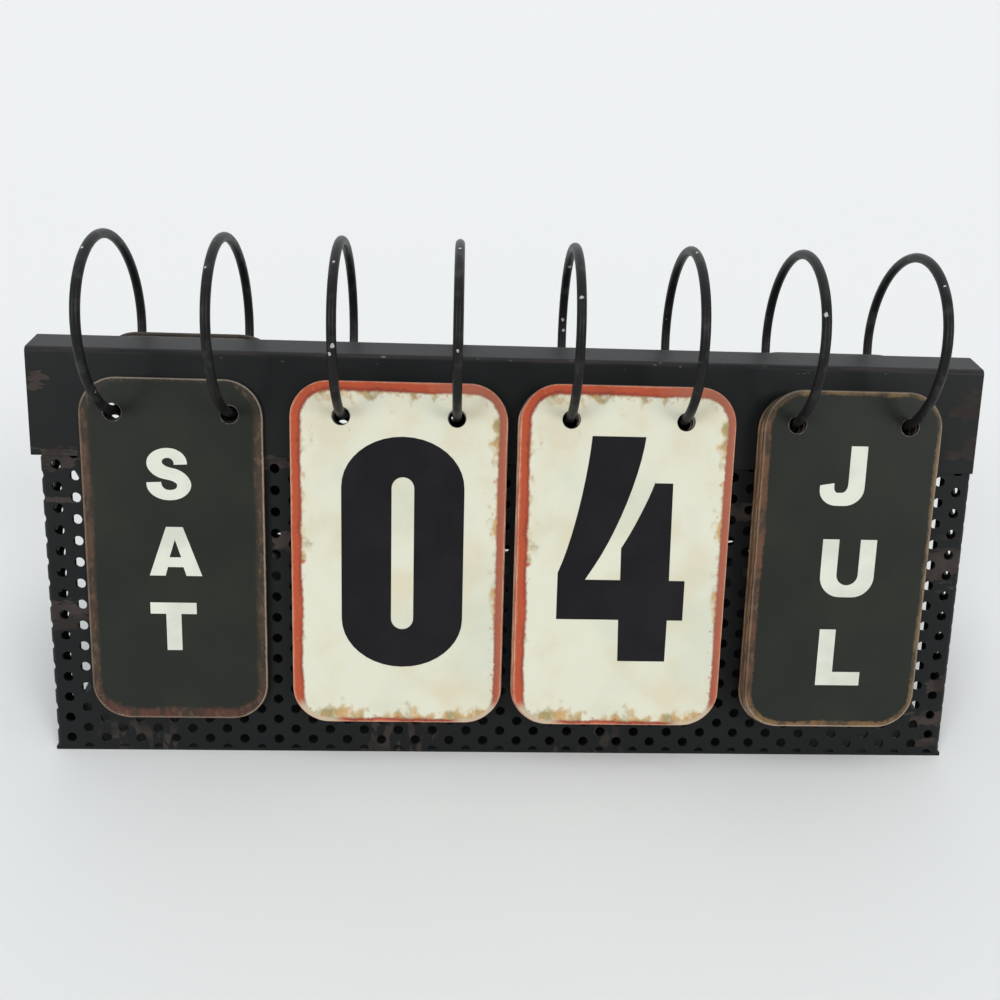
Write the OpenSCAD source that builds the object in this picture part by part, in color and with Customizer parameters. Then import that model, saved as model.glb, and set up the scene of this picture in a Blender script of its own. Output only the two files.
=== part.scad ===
// Perpetual flip calendar. A folded sheet-metal cap, two perforated sheets with folded ends and a base sheet
// make an A-shaped stand.
// Four pairs of wire rings pass through the cap and carry the day, tens, units and month cards.
// The cards still to come hang in front, and the used ones hang behind with their faces inwards.
// X runs along the stand, Y from front to back and Z up. The origin is on the table, under the middle.

/* [Stand] */
// Height of the flat top above the table
stand_h = 133.5; // [125:0.5:160]
// Lean of the front and back from upright, in degrees
lean = 23.1; // [18:0.1:28]
// Width of the flat top, measured to where its faces would meet the flanges
top_w = 12.2; // [9:0.1:20]
// Thickness of the cap's sheet metal
cap_t = 1.2; // [0.8:0.1:1.6]
// Outer radius of the cap's two bends
bend_r = 2.2; // [1.8:0.1:4]
// Length of each flange below the ring holes, down the slope
flange_below_ring = 16; // [13:0.5:24]
// Length of the cap beyond the outermost pair's share of the width, at each end
end_margin = 9; // [4:0.5:30]

/* [Perforated sheets] */
// Thickness of the perforated sheets
sheet_t = 1; // [0.6:0.1:1.4]
// Length of each sheet hidden under its flange
sheet_lap = 9; // [5:0.5:11]
// Distance from the cap's left end to the sheets' left edge
sheet_inset = 2; // [0:0.1:4]
// Distance that the sheets' right edge stands out past the cap
sheet_proud = 0.6; // [0:0.1:2]
// Diameter of the punched holes
hole_d = 3.5; // [2.5:0.1:4]
// Distance between the holes of one column
hole_pitch = 7.71; // [7:0.01:10]
// Distance between neighbouring columns, which are staggered by half a pitch
column_pitch = 6.23; // [5.8:0.01:9]
// Distance of the first column's centres outside the sheet's left end, which is folded through them
column_lead = 0.6; // [0:0.1:1.4]
// Distance from the sheet's upper edge to the first hole of that column
row_lead = 0.7; // [0:0.05:3]
// Outer radius of the fold at each end of a sheet
fold_r = 2; // [1.5:0.1:3]
// Depth of the left lips behind that fold, from the front of the sheet
left_lip_depth = 23; // [12:0.5:25]
// Depth of the right lips
right_lip_depth = 19.5; // [12:0.5:25]
// Distance from the front of the sheet to the lip's first column of holes
lip_lead = 8.5; // [6:0.1:10]
// Gap between the front and back lips where they meet
lip_gap = 1; // [0.5:0.1:3]

/* [Rings] */
// Diameter of the rings, measured to the middle of the wire
ring_d = 58.4; // [54:0.2:64]
// Diameter of the ring wire
wire_d = 3.2; // [2.4:0.1:3.6]
// Gap between the butted ends of a ring
ring_gap = 0.8; // [0.4:0.1:2]
// Height of the rings' centres above the flat top
ring_rise = 6.8; // [4:0.1:9]
// Distance between the two rings of a pair
ring_span = 39.4; // [34:0.2:42]
// Diameter of the holes in the cap that the rings pass through
ring_hole_d = 6; // [5.4:0.1:8]

/* [Cards] */
// Height of every card
card_h = 122; // [104:0.5:124]
// Width of the two number cards
number_card_w = 74; // [66:0.5:90]
// Width of the day and month cards
word_card_w = 62; // [58:0.5:70]
// Radius of the cards' corners
corner_r = 13; // [6:0.5:18]
// Thickness of a card
card_t = 0.9; // [0.6:0.05:1]
// Gap between two cards of a stack, and behind the first one
card_gap = 0.3; // [0.2:0.05:0.4]
// Diameter of the two holes in each card
card_hole_d = 6; // [5.8:0.1:7]
// Distance from a card's upper edge to the middle of its holes
hole_down = 12; // [9:0.5:14]
// Distance that the middle of a card's holes hangs below the middle of the wire
card_drop = 0.75; // [0.5:0.05:0.8]
// Distance between the edges of the two number cards
card_side_gap = 4; // [3:0.5:12]
// Distance that loose cards sit off centre, at most
card_slip = 0.3; // [0:0.05:0.4]
// Extra space between the stand and the used day cards, which hang further out along their rings
day_standoff = 1.3; // [0:0.1:2]

/* [Hidden] */
$fn = 64;
FRONT = 1;
BACK = -1;

// Each list starts with the card that hangs against the stand and ends with the outermost one
DAYS_FRONT = ["sat"];
DAYS_BACK = ["sun", "mon", "tue", "wed", "thu", "fri"];
TENS_FRONT = ["3", "2", "1", "0"];
UNITS_FRONT = ["9", "8", "7", "6", "5", "4"];
UNITS_BACK = ["0", "1", "2", "3"];
MONTHS_FRONT = ["dec", "nov", "oct", "sep", "aug", "jul"];
MONTHS_BACK = ["jan", "feb", "mar", "apr", "may", "jun"];
GROUPS = ["day", "tens", "units", "month"];
DAY = 0;
TENS = 1;
UNITS = 2;
MONTH = 3;
SIDES = ["left", "right"];
LEFT = 0;
RIGHT = 1;
LEGS = ["front", "back"];
LEG_SIDES = [FRONT, BACK];

// Colours
BLACK_PAINT = [0.09, 0.09, 0.1];
WIRE_BLACK = [0.07, 0.07, 0.08];
SLATE_PAINT = [0.17, 0.18, 0.16];
CREAM_PAINT = [0.89, 0.88, 0.8];

// Places of the groups along the stand, and of the left (s = 0) and right (s = 1) ring of each
group_pitch = max(number_card_w, word_card_w) + card_side_gap;
stand_w = len(GROUPS) * group_pitch + 2 * end_margin;
function group_x(g) = (g - (len(GROUPS) - 1) / 2) * group_pitch;
function ring_x(g, s) = group_x(g) + (s - 1 / 2) * ring_span;

// The slope's own axes, as [y, z]: down the front, and out of it
down = [-sin(lean), -cos(lean)];
out = [-cos(lean), sin(lean)];
front_edge = [-top_w / 2, stand_h];

// The rings' centre, and where it lies down the slope and out of it, from the front edge
ring_r = ring_d / 2;
ring_z = stand_h + ring_rise;
centre_down = ([0, ring_z] - front_edge) * down;
centre_out = ([0, ring_z] - front_edge) * out;

// How far down the slope the wire is, at a given distance in front of the flange's outer face
function wire_down(d) = centre_down + sqrt(pow(ring_r, 2) - pow(d - centre_out, 2));

ring_hole_down = wire_down(-cap_t / 2);
flange_l = ring_hole_down + flange_below_ring;

// Distance from the flange to the middle of the k-th card of a stack
card_pitch = card_t + card_gap;
function card_out(k, standoff = 0) = standoff + card_gap + card_t / 2 + k * card_pitch;

// Sideways scatter of the cards, which differs from one to the next
scatter_turn = 137;
function slip(k) = card_slip * sin(scatter_turn * (k + 1));

sheet_left = -stand_w / 2 + sheet_inset;
sheet_right = stand_w / 2 + sheet_proud;
sheet_top = flange_l - sheet_lap;
panel_left = sheet_left + fold_r;
panel_right = sheet_right - fold_r;

// The sheets are drawn a little past the table, and then cut off on top of the base sheet
sheet_overrun = 3 * (cap_t + sheet_t);
sheet_bottom = stand_h / cos(lean) + sheet_overrun;
sheet_l = sheet_bottom - sheet_top;

// The staggered holes. The folds at the two ends run through the first and the last column.
last_column = ceil((sheet_right - sheet_left + column_lead) / column_pitch);
last_row = ceil(sheet_l / hole_pitch);
function column_x(i) = sheet_left - column_lead + i * column_pitch;
function row_down(i, j) = sheet_top + row_lead + (abs(i) % 2) * hole_pitch / 2 + j * hole_pitch;

// The lips' last column leaves a plain edge that is at least as wide as the sheet is thick
function lip_columns(depth) = floor((depth - lip_lead - hole_d / 2 - sheet_t) / column_pitch) + 1;

// Half the depth of the stand between the outer faces of its two sheets, at a height z
function outer_y(z) = top_w / 2 + (stand_h - z) * tan(lean) - cap_t / cos(lean);

// Moves children from the flange's own frame to the front or the back of the stand.
// There, X is along the stand, Y into it, and Z up the slope from the edge of the flat top.
module on_slope(side) {
    mirror([0, side == BACK ? 1 : 0, 0])
        translate([0, front_edge.x, front_edge.y])
            rotate([-lean, 0, 0])
                children();
}

// The folded strip's outline, at a distance r from the middles of its bends
module cap_outline(r, flange) {
    tangent_l = bend_r * tan((90 - lean) / 2);
    bend = front_edge + [tangent_l, -bend_r];
    top = bend + [0, r];
    shoulder = bend + r * out;
    foot = shoulder + (flange - tangent_l) * down;
    polygon([
        top, shoulder, foot,
        [-foot.x, foot.y], [-shoulder.x, shoulder.y], [-top.x, top.y]
    ]);
    for (x = [bend.x, -bend.x])
        translate([x, bend.y])
            circle(r = r);
}

module cap() {
    color(BLACK_PAINT)
        difference() {
            rotate([90, 0, 90])
                linear_extrude(stand_w, center = true)
                    difference() {
                        cap_outline(bend_r, flange_l);
                        cap_outline(bend_r - cap_t, flange_l + cap_t);
                    }
            for (g = [DAY : MONTH])
                for (s = [LEFT, RIGHT])
                    for (side = [FRONT, BACK])
                        on_slope(side)
                            translate([ring_x(g, s), cap_t / 2, -ring_hole_down])
                                rotate([90, 0, 0])
                                    cylinder(d = ring_hole_d, h = 3 * cap_t, center = true);
        }
}

// Moves children from the flange's own frame to one leg of the stand, and cuts off what would reach below the
// top of the base sheet or past the middle
module leg(side) {
    color(BLACK_PAINT)
        mirror([0, side == BACK ? 1 : 0, 0])
            difference() {
                on_slope(FRONT)
                    children();
                translate([-stand_w, -stand_h, sheet_t - stand_h])
                    cube([2 * stand_w, 2 * stand_h, stand_h]);
                translate([-stand_w, -lip_gap / 2, -stand_h])
                    cube([2 * stand_w, stand_h, 3 * stand_h]);
            }
}

// The flat part of a perforated sheet, behind its flange
module sheet(side) {
    leg(side)
        translate([0, cap_t + sheet_t, 0])
            rotate([90, 0, 0])
                linear_extrude(sheet_t)
                    difference() {
                        translate([panel_left, -sheet_bottom])
                            square([panel_right - panel_left, sheet_l]);
                        for (i = [1 : last_column - 1])
                            for (j = [0 : last_row])
                                translate([column_x(i), -row_down(i, j)])
                                    circle(d = hole_d);
                    }
}

// The fold at a sheet's left end and the lip behind it, seen along the fold, whose centre is the origin
module lip_outline(depth) {
    difference() {
        union() {
            circle(r = fold_r);
            translate([-fold_r, 0])
                square([fold_r, depth - fold_r]);
        }
        circle(r = fold_r - sheet_t);
        translate([sheet_t - fold_r, 0])
            square([2 * fold_r, depth]);
        translate([0, -2 * fold_r])
            square([2 * fold_r, 4 * fold_r]);
    }
}

// The folded end of a perforated sheet, whose columns of holes go on around the fold
module lip(side, s) {
    fold_x = [panel_left, panel_right][s];
    fold_column = [0, last_column][s];
    outwards = [-1, 1][s];
    depth = [left_lip_depth, right_lip_depth][s];
    leg(side)
        difference() {
            translate([fold_x, cap_t + fold_r, -sheet_bottom])
                mirror([s, 0, 0])
                    linear_extrude(sheet_l)
                        lip_outline(depth);
            for (j = [0 : last_row]) {
                translate([column_x(fold_column), cap_t, -row_down(fold_column, j)])
                    rotate([90, 0, 0])
                        cylinder(d = hole_d, h = 4 * fold_r, center = true);
                for (n = [1 : lip_columns(depth)])
                    translate([
                        fold_x,
                        cap_t + lip_lead + (n - 1) * column_pitch,
                        -row_down(fold_column + outwards * n, j)
                    ])
                        rotate([0, 90, 0])
                            cylinder(d = hole_d, h = 4 * fold_r, center = true);
            }
        }
}

// The plain sheet that closes the stand's underside, under the feet of the other two
module base_sheet() {
    color(BLACK_PAINT)
        translate([sheet_left, 0, 0])
            rotate([90, 0, 90])
                linear_extrude(sheet_right - sheet_left)
                    polygon([
                        [-outer_y(0), 0], [outer_y(0), 0],
                        [outer_y(sheet_t), sheet_t], [-outer_y(sheet_t), sheet_t]
                    ]);
}

// A butted wire ring, with its ends at the bottom, inside the stand
module ring(g, s) {
    gap_angle = ring_gap / ring_r * 180 / PI;
    color(WIRE_BLACK)
        translate([ring_x(g, s), 0, ring_z])
            rotate([0, 90, 0])
                rotate([0, 0, gap_angle / 2])
                    rotate_extrude(angle = 360 - gap_angle)
                        translate([ring_r, 0])
                            circle(d = wire_d);
}

// A card's outline, with its holes just below the wires, which are at the height of the origin
module card_outline(w) {
    top = hole_down - card_drop;
    difference() {
        translate([-w / 2, top - card_h])
            union() {
                translate([corner_r, 0])
                    square([w - 2 * corner_r, card_h]);
                translate([0, corner_r])
                    square([w, card_h - 2 * corner_r]);
                for (x = [corner_r, w - corner_r])
                    for (y = [corner_r, card_h - corner_r])
                        translate([x, y])
                            circle(r = corner_r);
            }
        for (s = [-0.5, 0.5])
            translate([s * ring_span, -card_drop])
                circle(d = card_hole_d);
    }
}

// The k-th card of the stack in front of or behind the stand
module card(g, side, k, w, paint, standoff = 0) {
    d = card_out(k, standoff);
    color(paint)
        on_slope(side)
            translate([group_x(g) + slip(k), -d, -wire_down(d)])
                rotate([90, 0, 0])
                    linear_extrude(card_t, center = true)
                        card_outline(w);
}

module word_card(g, side, k, standoff = 0) {
    card(g, side, k, word_card_w, SLATE_PAINT, standoff);
}

module number_card(g, side, k) {
    card(g, side, k, number_card_w, CREAM_PAINT);
}

cap();
sheet(FRONT);  // front_sheet
sheet(BACK);  // back_sheet
base_sheet();
for (k = [0 : len(LEGS) - 1])
    for (s = [LEFT, RIGHT])
        lip(LEG_SIDES[k], s);
for (g = [DAY : MONTH])
    for (s = [LEFT, RIGHT])
        ring(g, s);
for (k = [0 : len(DAYS_FRONT) - 1])
    word_card(DAY, FRONT, k);
for (k = [0 : len(DAYS_BACK) - 1])
    word_card(DAY, BACK, k, day_standoff);
for (k = [0 : len(TENS_FRONT) - 1])
    number_card(TENS, FRONT, k);
for (k = [0 : len(UNITS_FRONT) - 1])
    number_card(UNITS, FRONT, k);
for (k = [0 : len(UNITS_BACK) - 1])
    number_card(UNITS, BACK, k);
for (k = [0 : len(MONTHS_FRONT) - 1])
    word_card(MONTH, FRONT, k);
for (k = [0 : len(MONTHS_BACK) - 1])
    word_card(MONTH, BACK, k);
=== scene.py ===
import math

import bmesh
import bpy
from mathutils import Matrix, Vector


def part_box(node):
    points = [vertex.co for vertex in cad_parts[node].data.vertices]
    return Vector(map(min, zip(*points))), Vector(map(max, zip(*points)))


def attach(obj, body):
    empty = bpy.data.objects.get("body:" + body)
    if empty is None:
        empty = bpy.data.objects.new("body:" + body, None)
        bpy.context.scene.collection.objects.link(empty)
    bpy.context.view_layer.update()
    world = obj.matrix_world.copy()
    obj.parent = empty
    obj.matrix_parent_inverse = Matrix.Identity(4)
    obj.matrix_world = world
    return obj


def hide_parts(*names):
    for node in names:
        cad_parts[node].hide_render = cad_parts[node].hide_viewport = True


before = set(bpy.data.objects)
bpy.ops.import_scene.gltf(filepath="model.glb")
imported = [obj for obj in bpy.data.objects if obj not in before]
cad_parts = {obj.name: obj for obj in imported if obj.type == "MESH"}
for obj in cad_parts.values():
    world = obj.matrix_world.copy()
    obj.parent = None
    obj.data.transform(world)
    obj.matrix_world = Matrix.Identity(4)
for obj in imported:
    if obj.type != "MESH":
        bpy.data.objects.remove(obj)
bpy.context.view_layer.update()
# Sizes are in millimetres unless a comment says otherwise. The frame is in metres.
MM = 0.001


# ---- The cap ----
# One strip of sheet steel, folded over the top of the stand, with a row of holes along each flange for the
# rings. It has thin black satin paint over a brown primer, which shows in ragged patches where it's rubbed.

class Tone:
    """A socket in a material. Sums on it add Math nodes, and node() adds any other kind."""

    def __init__(self, socket):
        self.socket = socket

    def node(self, kind, output=0, sockets=None, **settings):
        made = self.socket.id_data.nodes.new("ShaderNode" + kind)
        for name, setting in settings.items():
            setattr(made, name, setting)
        for name, value in (sockets or {}).items():
            if isinstance(value, Tone):
                value.feed(made.inputs[name])
            else:
                made.inputs[name].default_value = value
        return Tone(made.outputs[output])

    def feed(self, socket):
        self.socket.id_data.links.new(self.socket, socket)

    def sum(self, operation, *others):
        return self.node("Math", sockets=dict(enumerate((self, *others))), operation=operation)

    def __add__(self, other):
        return self.sum("ADD", other)

    def __sub__(self, other):
        return self.sum("SUBTRACT", other)

    def __rsub__(self, other):
        return (self * -1) + other

    def __mul__(self, other):
        return self.sum("MULTIPLY", other)

    def __truediv__(self, other):
        return self.sum("DIVIDE", other)

    __radd__ = __add__
    __rmul__ = __mul__

    def size(self):
        return self.sum("ABSOLUTE")

    def least(self, other):
        return self.sum("MINIMUM", other)

    def most(self, other):
        return self.sum("MAXIMUM", other)

    def step(self, low, high):
        """0 up to low, 1 from high on, and smooth between them."""
        ends = {"Value": self, "From Min": low, "From Max": high}
        return self.node("MapRange", sockets=ends, interpolation_type="SMOOTHSTEP")

    def blend(self, under, over):
        """Colour under where this is 0, and colour over where it is 1."""
        return self.node("Mix", 2, {0: self, 6: under, 7: over}, data_type="RGBA")

    def part(self, axis):
        return self.node("SeparateXYZ", axis, {0: self})

    def speckle(self, grain, detail=2.0, stretch=(1, 1, 1), seed=0.0):
        """Noise from 0 to 1 over a place in millimetres, with spots about as wide as grain."""
        shift = (seed, seed, seed)
        spots_per_mm = 0.5 / grain
        place = self.node("Mapping", sockets={"Vector": self, "Location": shift, "Scale": stretch})
        return self.node("TexNoise", sockets={"Vector": place, "Scale": spots_per_mm, "Detail": detail})

    def near(self, centre, reach):
        """Distance from a point, as a share of its reach along each axis."""
        moved = self.node("VectorMath", sockets={0: self, 1: centre}, operation="SUBTRACT")
        shrunk = moved.node("VectorMath", sockets={0: moved, 1: reach}, operation="DIVIDE")
        return shrunk.node("VectorMath", "Value", {0: shrunk}, operation="LENGTH")


def srgb(red, green, blue):
    """A colour as the eye names it, from 0 to 255, in the units of the shader."""
    def linear(level):
        share = level / 255
        return share / 12.92 if share <= 0.04045 else ((share + 0.055) / 1.055) ** 2.4
    return (linear(red), linear(green), linear(blue), 1)


class Finish:
    """A material being made: its shader, and the place of a point on the object in millimetres."""

    def __init__(self, name):
        self.material = bpy.data.materials.new(name)
        self.material.use_nodes = True
        self.shader = self.material.node_tree.nodes["Principled BSDF"]
        coordinates = self.material.node_tree.nodes.new("ShaderNodeTexCoord")
        metres = Tone(coordinates.outputs["Object"])
        self.place = metres.node("Mapping", sockets={"Vector": metres, "Scale": (1 / MM,) * 3})

    def set(self, **values):
        for name, value in values.items():
            socket = self.shader.inputs[name.replace("_", " ")]
            if isinstance(value, Tone):
                value.feed(socket)
            else:
                socket.default_value = value

    def emboss(self, height, depth_mm):
        """Raises the surface by depth_mm where height is 1."""
        bump = height.node("Bump", sockets={"Height": height, "Distance": depth_mm * MM, "Strength": 1.0})
        self.set(Normal=bump)


BLACK = srgb(21, 23, 24)
BLACK_WORN = srgb(32, 34, 34)
PRIMER = srgb(44, 38, 35)
PRIMER_PALE = srgb(66, 58, 54)
BARE_STEEL = srgb(128, 126, 120)

# Where the paint is rubbed through, front and back: x and z of the middle, and half the width and height
RUBBED = {
    -1: [(-162, 125, 3.5, 2.2), (-163, 121, 2.2, 0.8), (-158, 99, 7, 3), (-157, 85, 6, 0.8),
         (-158, 46.5, 8, 4.5), (161, 122, 5, 4.5), (156.5, 106, 2.2, 1.6), (164, 108, 3, 2.5),
         (158, 68, 9, 6), (163, 26, 6, 2), (162, 14, 8, 2.4), (162, 5, 5, 1.4),
         (82, 85, 4, 3), (-82, 99, 5, 2), (-79, 73, 4, 3)],
    1: [(150, 118, 9, 3), (-152, 60, 8, 5), (20, 92, 6, 2.5), (96, 34, 10, 2.5),
        (-60, 12, 12, 3), (-132, 112, 5, 4)],
}
# Stretches of the foot that are streaked from wiping: the middle and half the length
WIPED = [(-133, 17), (-40, 17), (31, 15)]
WIPED_H = 12
# The two bends along the top of the cap: how high they are, and how far from its middle
BEND_Z = 131
BEND_Y = 6
PAINT_RELIEF = 0.09


def black_paint(name, chips):
    """Satin black, rubbed to the primer in patches and streaks, with chips to the steel near the bends."""
    finish = Finish(name)
    place = finish.place
    along = place.part("X")
    across = place.part("Y")
    height = place.part("Z")
    ragged = place.speckle(3.2, 5, (0.4, 1, 1.3)) + place.speckle(0.9, 4, (0.5, 1, 1.5), seed=8) - 1
    grit = place.speckle(0.5, 3)
    streaks = place.speckle(1.5, 3, (1, 1, 0.13), seed=31)

    # Patches, each with a frayed outline, on the one side that they are rubbed on
    rubbed = height * 0
    flattened = place.node("CombineXYZ", sockets={0: along, 1: 0.0, 2: height})
    frayed = ragged * 2.4
    for side, patches in RUBBED.items():
        there = (across * side).step(0.5, 1.5)
        for x, z, half_x, half_z in patches:
            inside = 1.3 - flattened.near((x, 0, z), (half_x, 1, half_z)) + frayed
            rubbed = rubbed.most(inside.step(0.1, 0.25) * there)

    # Upright streaks along the foot
    low = (WIPED_H + ragged * 12 - height).step(0, 2)
    wiped = streaks.step(0.52, 0.57) * low * 0.85
    for x, half_x in WIPED:
        inside = 1 - (along - x).size() / half_x
        rubbed = rubbed.most(wiped * inside.step(0, 0.3))

    faint = place.speckle(14, 3, seed=12).step(0.56, 0.72) * streaks.step(0.42, 0.7)
    primer = place.speckle(2.4, 4, (0.4, 1, 0.4), seed=15).step(0.42, 0.6).blend(PRIMER, PRIMER_PALE)
    paint = (faint * 0.55).blend(BLACK, BLACK_WORN)
    colour = (rubbed * 0.85).blend(paint, primer)

    # The bends of the cap, scuffed along their line and chipped beside it
    from_middle = across.size()
    bends = height.step(BEND_Z - 0.4, BEND_Z + 0.6) * from_middle.step(BEND_Y - 1.8, BEND_Y - 0.6) * chips
    on_line = (1 - (from_middle - BEND_Y).size()).step(0.4, 0.9)
    scuffed = place.speckle(5, 4, (0.3, 1, 1), seed=9).step(0.35, 0.6) * on_line * bends
    chipped = place.speckle(0.9, 3, (0.4, 1, 1), seed=3).step(0.68, 0.75) * bends
    colour = (scuffed * 0.5).blend(colour, PRIMER_PALE)
    colour = (chipped * 0.7).blend(colour, BARE_STEEL)

    finish.set(Base_Color=colour, Roughness=0.38 + grit * 0.12 + rubbed * 0.2, Metallic=chipped * 0.5)
    finish.set(Specular_IOR_Level=0.24)
    finish.emboss(grit * 0.25 + place.speckle(6, 2) * 1.2 - rubbed * 0.35, PAINT_RELIEF)
    return finish.material


def repaint(node, material):
    """Gives a piece of the stand its paint, and leaves its mesh alone."""
    node.data.materials.clear()
    node.data.materials.append(material)


repaint(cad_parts["cap"], black_paint("cap_black", 1.0))


# ---- The two legs and the base ----
# Perforated sheet steel, welded inside the cap's flanges, with a lip folded back at each end, and a plain
# base sheet under them. They have the cap's black paint, worn most along the foot and beside the two ends.

leg_black = black_paint("leg_black", 0.0)
LIPS = [f"{leg}_{side}_lip" for leg in ("front", "back") for side in ("left", "right")]
for sheet in ("front_sheet", "back_sheet", "base_sheet", *LIPS):
    repaint(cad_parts[sheet], leg_black)


# ---- The eight rings ----
# Eighth-inch steel wire, bent to a circle and butted under the cap, dipped in black paint.
# The cards drag along the wire, which has worn it shiny and knocked small chips out of the paint.

WIRE_R = 1.6
WIRE_SIDES = 24
WIRE_END_BEVEL = 0.35
RING_GAP = 0.8
RING_STEPS = 144
WIRE_BLACK = srgb(24, 24, 25)
WIRE_SCUFF = srgb(62, 62, 61)
WIRE_CHIP = srgb(190, 191, 189)
WIRE_RELIEF = 0.07
GROUPS = ("day", "tens", "units", "month")
RINGS = [f"{group}_ring_{side}" for group in GROUPS for side in ("left", "right")]

# Chips in the paint: the number of the ring from the left, degrees round it from its front over its top,
# degrees round the wire from its outside, and size
CHIPS = [
    (0, 71, -10, 0.5), (0, 99, 0, 0.4), (1, 58, -20, 0.4), (2, 65, 0, 0.4), (2, 13, 20, 0.8),
    (2, 8, -20, 0.6), (3, 82, 0, 0.5), (3, 12, 0, 0.5), (4, 143, 170, 0.8), (4, 45, -10, 0.7),
    (4, 191, 190, 0.7), (4, 199, 170, 0.6), (5, 87, -20, 0.5), (6, 39, -30, 0.8), (6, 120, 160, 0.5),
    (7, 60, -20, 0.4),
]


def ring_size(name):
    """The middle of a ring, and the radius of the line that its wire is swept along, in millimetres."""
    low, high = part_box(name)
    return (low + high) / 2 / MM, (high.z - low.z) / 2 / MM - WIRE_R


def on_ring(name, round_ring, round_wire):
    """A point on the surface of a ring's wire, in millimetres."""
    middle, radius = ring_size(name)
    turn = math.radians(round_ring)
    roll = math.radians(round_wire)
    reach = radius + WIRE_R * math.cos(roll)
    return middle + Vector((WIRE_R * math.sin(roll), -reach * math.cos(turn), reach * math.sin(turn)))


def wire_paint():
    """Satin black, scuffed by the cards, with a chip here and there down to the bright steel."""
    finish = Finish("wire_black")
    place = finish.place
    grit = place.speckle(0.35, 3)
    jagged = (grit - 0.5) * 1.6
    scuffs = place.speckle(2.5, 4).step(0.5, 0.75)
    chipped = place.speckle(0.6, 1, seed=5).step(0.81, 0.83)
    for number, round_ring, round_wire, size in CHIPS:
        chip = tuple(on_ring(RINGS[number], round_ring, round_wire))
        inside = 1.1 - place.near(chip, (size, size, size)) + jagged
        chipped = chipped.most(inside.step(0.1, 0.25))
    colour = (scuffs * 0.6).blend(WIRE_BLACK, WIRE_SCUFF)
    finish.set(Base_Color=chipped.blend(colour, WIRE_CHIP), Roughness=0.32 + grit * 0.16)
    finish.set(Metallic=chipped * 0.5, Specular_IOR_Level=0.2)
    finish.emboss(grit * 0.4 + place.speckle(1.6, 2) - chipped, WIRE_RELIEF)
    return finish.material


def wire_ring(name):
    """A circle of wire swept round the ring, open at the bottom, with its ends cut square and deburred."""
    middle, radius = ring_size(name)
    half_gap = RING_GAP / 2 / radius
    form = bmesh.new()
    upright = Matrix.Translation((0, 0, -radius)) @ Matrix.Rotation(math.pi / 2, 4, "X")
    first_end = Matrix.Rotation(half_gap, 4, "X") @ upright
    bmesh.ops.create_circle(form, segments=WIRE_SIDES, radius=WIRE_R, matrix=first_end)
    section = form.verts[:] + form.edges[:]
    bmesh.ops.spin(form, geom=section, cent=(0, 0, 0), axis=(1, 0, 0), steps=RING_STEPS,
                   angle=math.tau - 2 * half_gap)
    ends = [edge for edge in form.edges if edge.is_boundary]
    bmesh.ops.holes_fill(form, edges=ends, sides=0)
    bmesh.ops.bevel(form, geom=ends, offset=WIRE_END_BEVEL, segments=2, profile=0.5, affect="EDGES",
                    material=-1)
    bmesh.ops.recalc_face_normals(form, faces=form.faces)
    for face in form.faces:
        face.smooth = len(face.verts) == 4
    in_cap = Matrix.Scale(MM, 4) @ Matrix.Translation(middle)
    bmesh.ops.transform(form, matrix=in_cap, verts=form.verts)
    mesh = bpy.data.meshes.new(name + "_wire")
    form.to_mesh(mesh)
    form.free()
    return mesh


def piece(name, mesh, materials, body):
    """An object of this mesh, with its materials, that moves with a body."""
    made = bpy.data.objects.new(name, mesh)
    bpy.context.scene.collection.objects.link(made)
    for material in materials:
        mesh.materials.append(material)
    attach(made, body)
    return made


wire_black = wire_paint()
for name in RINGS:
    pair = name.split("_")[0] + "_rings"
    wire = piece(name + "_wire", wire_ring(name), [wire_black], pair)
    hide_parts(name)


# ---- The cards ----
# Blanks cut from thin sheet steel, with round corners, two punched holes, worn edges and plain dark backs.
# The front is printed and has a clear satin coat. Used cards hang behind the stand, with their print to it.

CARD_H = 122
CARD_T = 0.9
CORNER_R = 13
CORNER_STEPS = 14
HOLE_R = 3
HOLE_UP = 49
HOLE_SIDES = 40
HOLE_SPAN = 39.4
DEBURR = 0.16
LEAN = math.radians(23.1)
PRINT, EDGE, BACK = 0, 1, 2
# The turn between two faces, in radians, past which the edge between them is a rim
RIM_TURN = 1
# How much a face of the blank looks up or down, from 0 to 1, past which it is the print or the back
FLAT = 0.99
# How high up the card the paint begins to stay on its edge, and where all of it has stayed
PAINT_STAYS = (47, 57)
EDGE_DARK = srgb(42, 39, 37)
LACQUER = srgb(38, 38, 37)
LACQUER_BROWN = srgb(52, 49, 45)
LACQUER_SCRATCH = srgb(105, 100, 94)


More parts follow.
